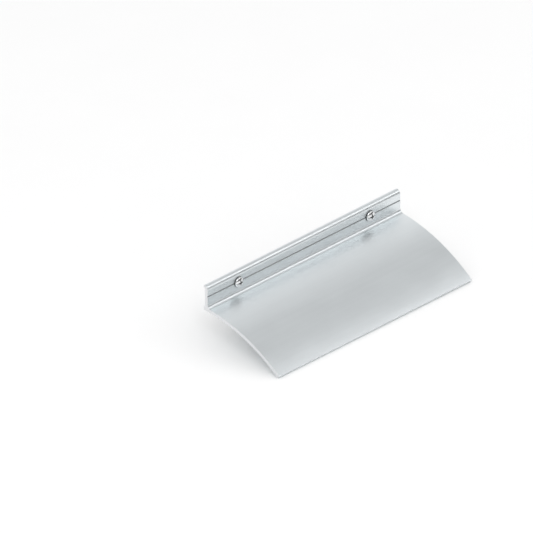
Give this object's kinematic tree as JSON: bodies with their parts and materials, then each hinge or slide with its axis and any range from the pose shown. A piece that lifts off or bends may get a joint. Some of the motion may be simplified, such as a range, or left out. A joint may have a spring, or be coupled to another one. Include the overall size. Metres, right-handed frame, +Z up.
{
  "type": "door drip strip",
  "caption": "Curved aluminium rain drip strip for a door head: a one-piece extrusion with a grooved fixing flange and pan-head screws that fasten it to the face of the frame.",
  "frame": {"origin": "on the wall plane, midway between the two screws and level with them", "axes": "+X along the strip, -Y out from the wall towards the drip edge, +Y into the wall, +Z up"},
  "size_m": [0.204, 0.0886, 0.0486],
  "materials": {
    "aluminium": "satin anodised aluminium with fine die lines along the length",
    "screw_steel": "bright plated steel"
  },
  "bodies": {
    "root": {"drip_extrusion": "aluminium", "screw_left": "screw_steel", "screw_right": "screw_steel"}
  },
  "joints": []
}
